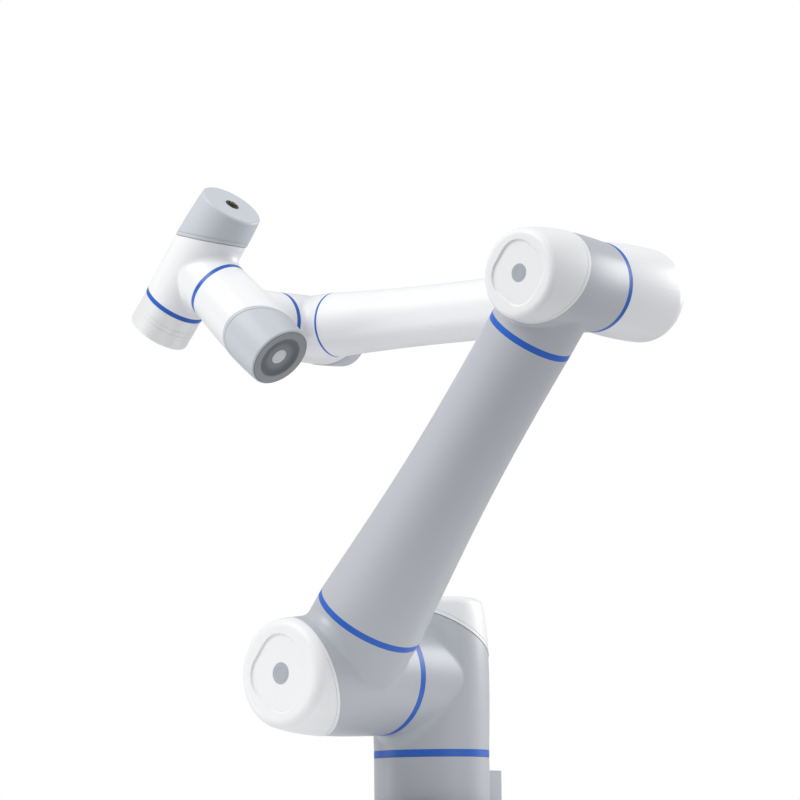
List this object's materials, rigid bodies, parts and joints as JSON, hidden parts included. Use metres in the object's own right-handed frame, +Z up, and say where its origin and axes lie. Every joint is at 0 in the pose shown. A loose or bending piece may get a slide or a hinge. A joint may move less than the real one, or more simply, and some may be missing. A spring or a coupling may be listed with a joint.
{
  "type": "collaborative robot arm",
  "caption": "Six-axis collaborative robot arm with slanted end covers, coloured joint rings, a bolted base and a round tool flange, stored in a bent working pose.",
  "frame": {"origin": "centre of the base's mounting face, on the first joint's axis", "axes": "+Z up along the first joint; +Y back towards the connector panel; the shoulder, elbow and first wrist axes run along Y"},
  "size_m": [0.8274, 0.3897, 0.853],
  "materials": {
    "paint_gray": "satin",
    "paint_white": "satin",
    "cover_white": "satin",
    "cover_gray": "satin",
    "ring_blue": "satin",
    "flange_metal": "bead-blasted",
    "steel": "ground",
    "stator_copper": "wound",
    "board_green": "satin",
    "connector_black": "matt",
    "panel_dark": "textured"
  },
  "bodies": {
    "base": {"base_housing": "paint_gray", "base_panel": "panel_dark", "base_panel_screws": "steel", "power_connector": "connector_black", "signal_connector": "connector_black", "base_joint_output": "steel"},
    "shoulder_link": {"base_joint_housing": "paint_gray", "base_joint_cover": "cover_white", "base_joint_seal_ring": "ring_blue", "base_joint_stator": "stator_copper", "base_joint_reducer": "steel", "base_joint_drive_board": "board_green", "shoulder_output": "steel"},
    "upper_arm": {"shoulder_housing": "paint_gray", "shoulder_cover": "cover_white", "shoulder_seal_ring": "ring_blue", "shoulder_stator": "stator_copper", "shoulder_reducer": "steel", "shoulder_drive_board": "board_green", "upper_arm_lower_ring": "ring_blue", "upper_arm_tube": "paint_gray", "upper_arm_upper_ring": "ring_blue", "elbow_housing": "paint_gray", "elbow_cover": "cover_white", "elbow_seal_ring": "ring_blue", "elbow_stator": "stator_copper", "elbow_reducer": "steel", "elbow_drive_board": "board_green"},
    "forearm": {"elbow_output": "steel", "forearm_elbow": "paint_white", "forearm_tube": "paint_white", "forearm_ring": "ring_blue", "wrist_1_housing": "paint_white", "wrist_1_cover": "cover_gray", "wrist_1_seal_ring": "ring_blue", "wrist_1_stator": "stator_copper", "wrist_1_reducer": "steel", "wrist_1_drive_board": "board_green"},
    "wrist_1_link": {"wrist_1_output": "steel", "wrist_2_housing": "paint_white", "wrist_2_cover": "cover_gray", "wrist_2_seal_ring": "ring_blue", "wrist_2_stator": "stator_copper", "wrist_2_reducer": "steel", "wrist_2_drive_board": "board_green"},
    "wrist_2_link": {"wrist_2_output": "steel", "wrist_3_housing": "paint_white", "wrist_3_cover": "cover_gray", "wrist_3_seal_ring": "ring_blue", "wrist_3_stator": "stator_copper", "wrist_3_reducer": "steel", "wrist_3_drive_board": "board_green", "tool_connector": "connector_black"},
    "tool_end": {"tool_flange": "flange_metal"},
    "base_joint_motor": {"base_joint_rotor": "steel"},
    "shoulder_motor": {"shoulder_rotor": "steel"},
    "elbow_motor": {"elbow_rotor": "steel"},
    "wrist_1_motor": {"wrist_1_rotor": "steel"},
    "wrist_2_motor": {"wrist_2_rotor": "steel"},
    "wrist_3_motor": {"wrist_3_rotor": "steel"}
  },
  "joints": [
    {"name": "base_turn", "type": "hinge", "parent": "base", "child": "shoulder_link", "pos_m": [0, 0, 0.1765], "axis": [0, 0, 1], "range_deg": [-360, 360]},
    {"name": "shoulder_turn", "type": "hinge", "parent": "shoulder_link", "child": "upper_arm", "pos_m": [0, -0.186, 0.1765], "axis": [0, 1, 0], "range_deg": [-360, 360]},
    {"name": "elbow_turn", "type": "hinge", "parent": "upper_arm", "child": "forearm", "pos_m": [0.382, -0.186, 0.64823], "axis": [0, 1, 0], "range_deg": [-32.7, 275.3]},
    {"name": "wrist_1_turn", "type": "hinge", "parent": "forearm", "child": "wrist_1_link", "pos_m": [-0.18575, -0.044, 0.66508], "axis": [0, 1, 0], "range_deg": [-360, 360]},
    {"name": "wrist_2_turn", "type": "hinge", "parent": "wrist_1_link", "child": "wrist_2_link", "pos_m": [-0.18575, -0.158, 0.66508], "axis": [-0.7373, 0, 0.6756], "range_deg": [-360, 360]},
    {"name": "wrist_3_turn", "type": "hinge", "parent": "wrist_2_link", "child": "tool_end", "pos_m": [-0.27718, -0.158, 0.74885], "axis": [-0.6755, 0.0175, -0.7372], "range_deg": [-360, 360]},
    {"name": "base_joint_motor_turn", "type": "hinge", "parent": "shoulder_link", "child": "base_joint_motor", "pos_m": [0, 0, 0.1765], "axis": [0, 0, 1], "continuous": true},
    {"name": "shoulder_motor_turn", "type": "hinge", "parent": "upper_arm", "child": "shoulder_motor", "pos_m": [0, -0.186, 0.1765], "axis": [0, 1, 0], "continuous": true},
    {"name": "elbow_motor_turn", "type": "hinge", "parent": "upper_arm", "child": "elbow_motor", "pos_m": [0.382, -0.186, 0.64823], "axis": [0, 1, 0], "continuous": true},
    {"name": "wrist_1_motor_turn", "type": "hinge", "parent": "forearm", "child": "wrist_1_motor", "pos_m": [-0.18575, -0.044, 0.66508], "axis": [0, 1, 0], "continuous": true},
    {"name": "wrist_2_motor_turn", "type": "hinge", "parent": "wrist_1_link", "child": "wrist_2_motor", "pos_m": [-0.18575, -0.158, 0.66508], "axis": [-0.7373, 0, 0.6756], "continuous": true},
    {"name": "wrist_3_motor_turn", "type": "hinge", "parent": "wrist_2_link", "child": "wrist_3_motor", "pos_m": [-0.27718, -0.158, 0.74885], "axis": [-0.6755, 0.0175, -0.7372], "continuous": true}
  ],
  "couplings": [
    {"joint": "base_joint_motor_turn", "follows": "base_turn", "ratio": 100},
    {"joint": "shoulder_motor_turn", "follows": "shoulder_turn", "ratio": 100},
    {"joint": "elbow_motor_turn", "follows": "elbow_turn", "ratio": -100},
    {"joint": "wrist_1_motor_turn", "follows": "wrist_1_turn", "ratio": -100},
    {"joint": "wrist_2_motor_turn", "follows": "wrist_2_turn", "ratio": -100},
    {"joint": "wrist_3_motor_turn", "follows": "wrist_3_turn", "ratio": -100}
  ]
}
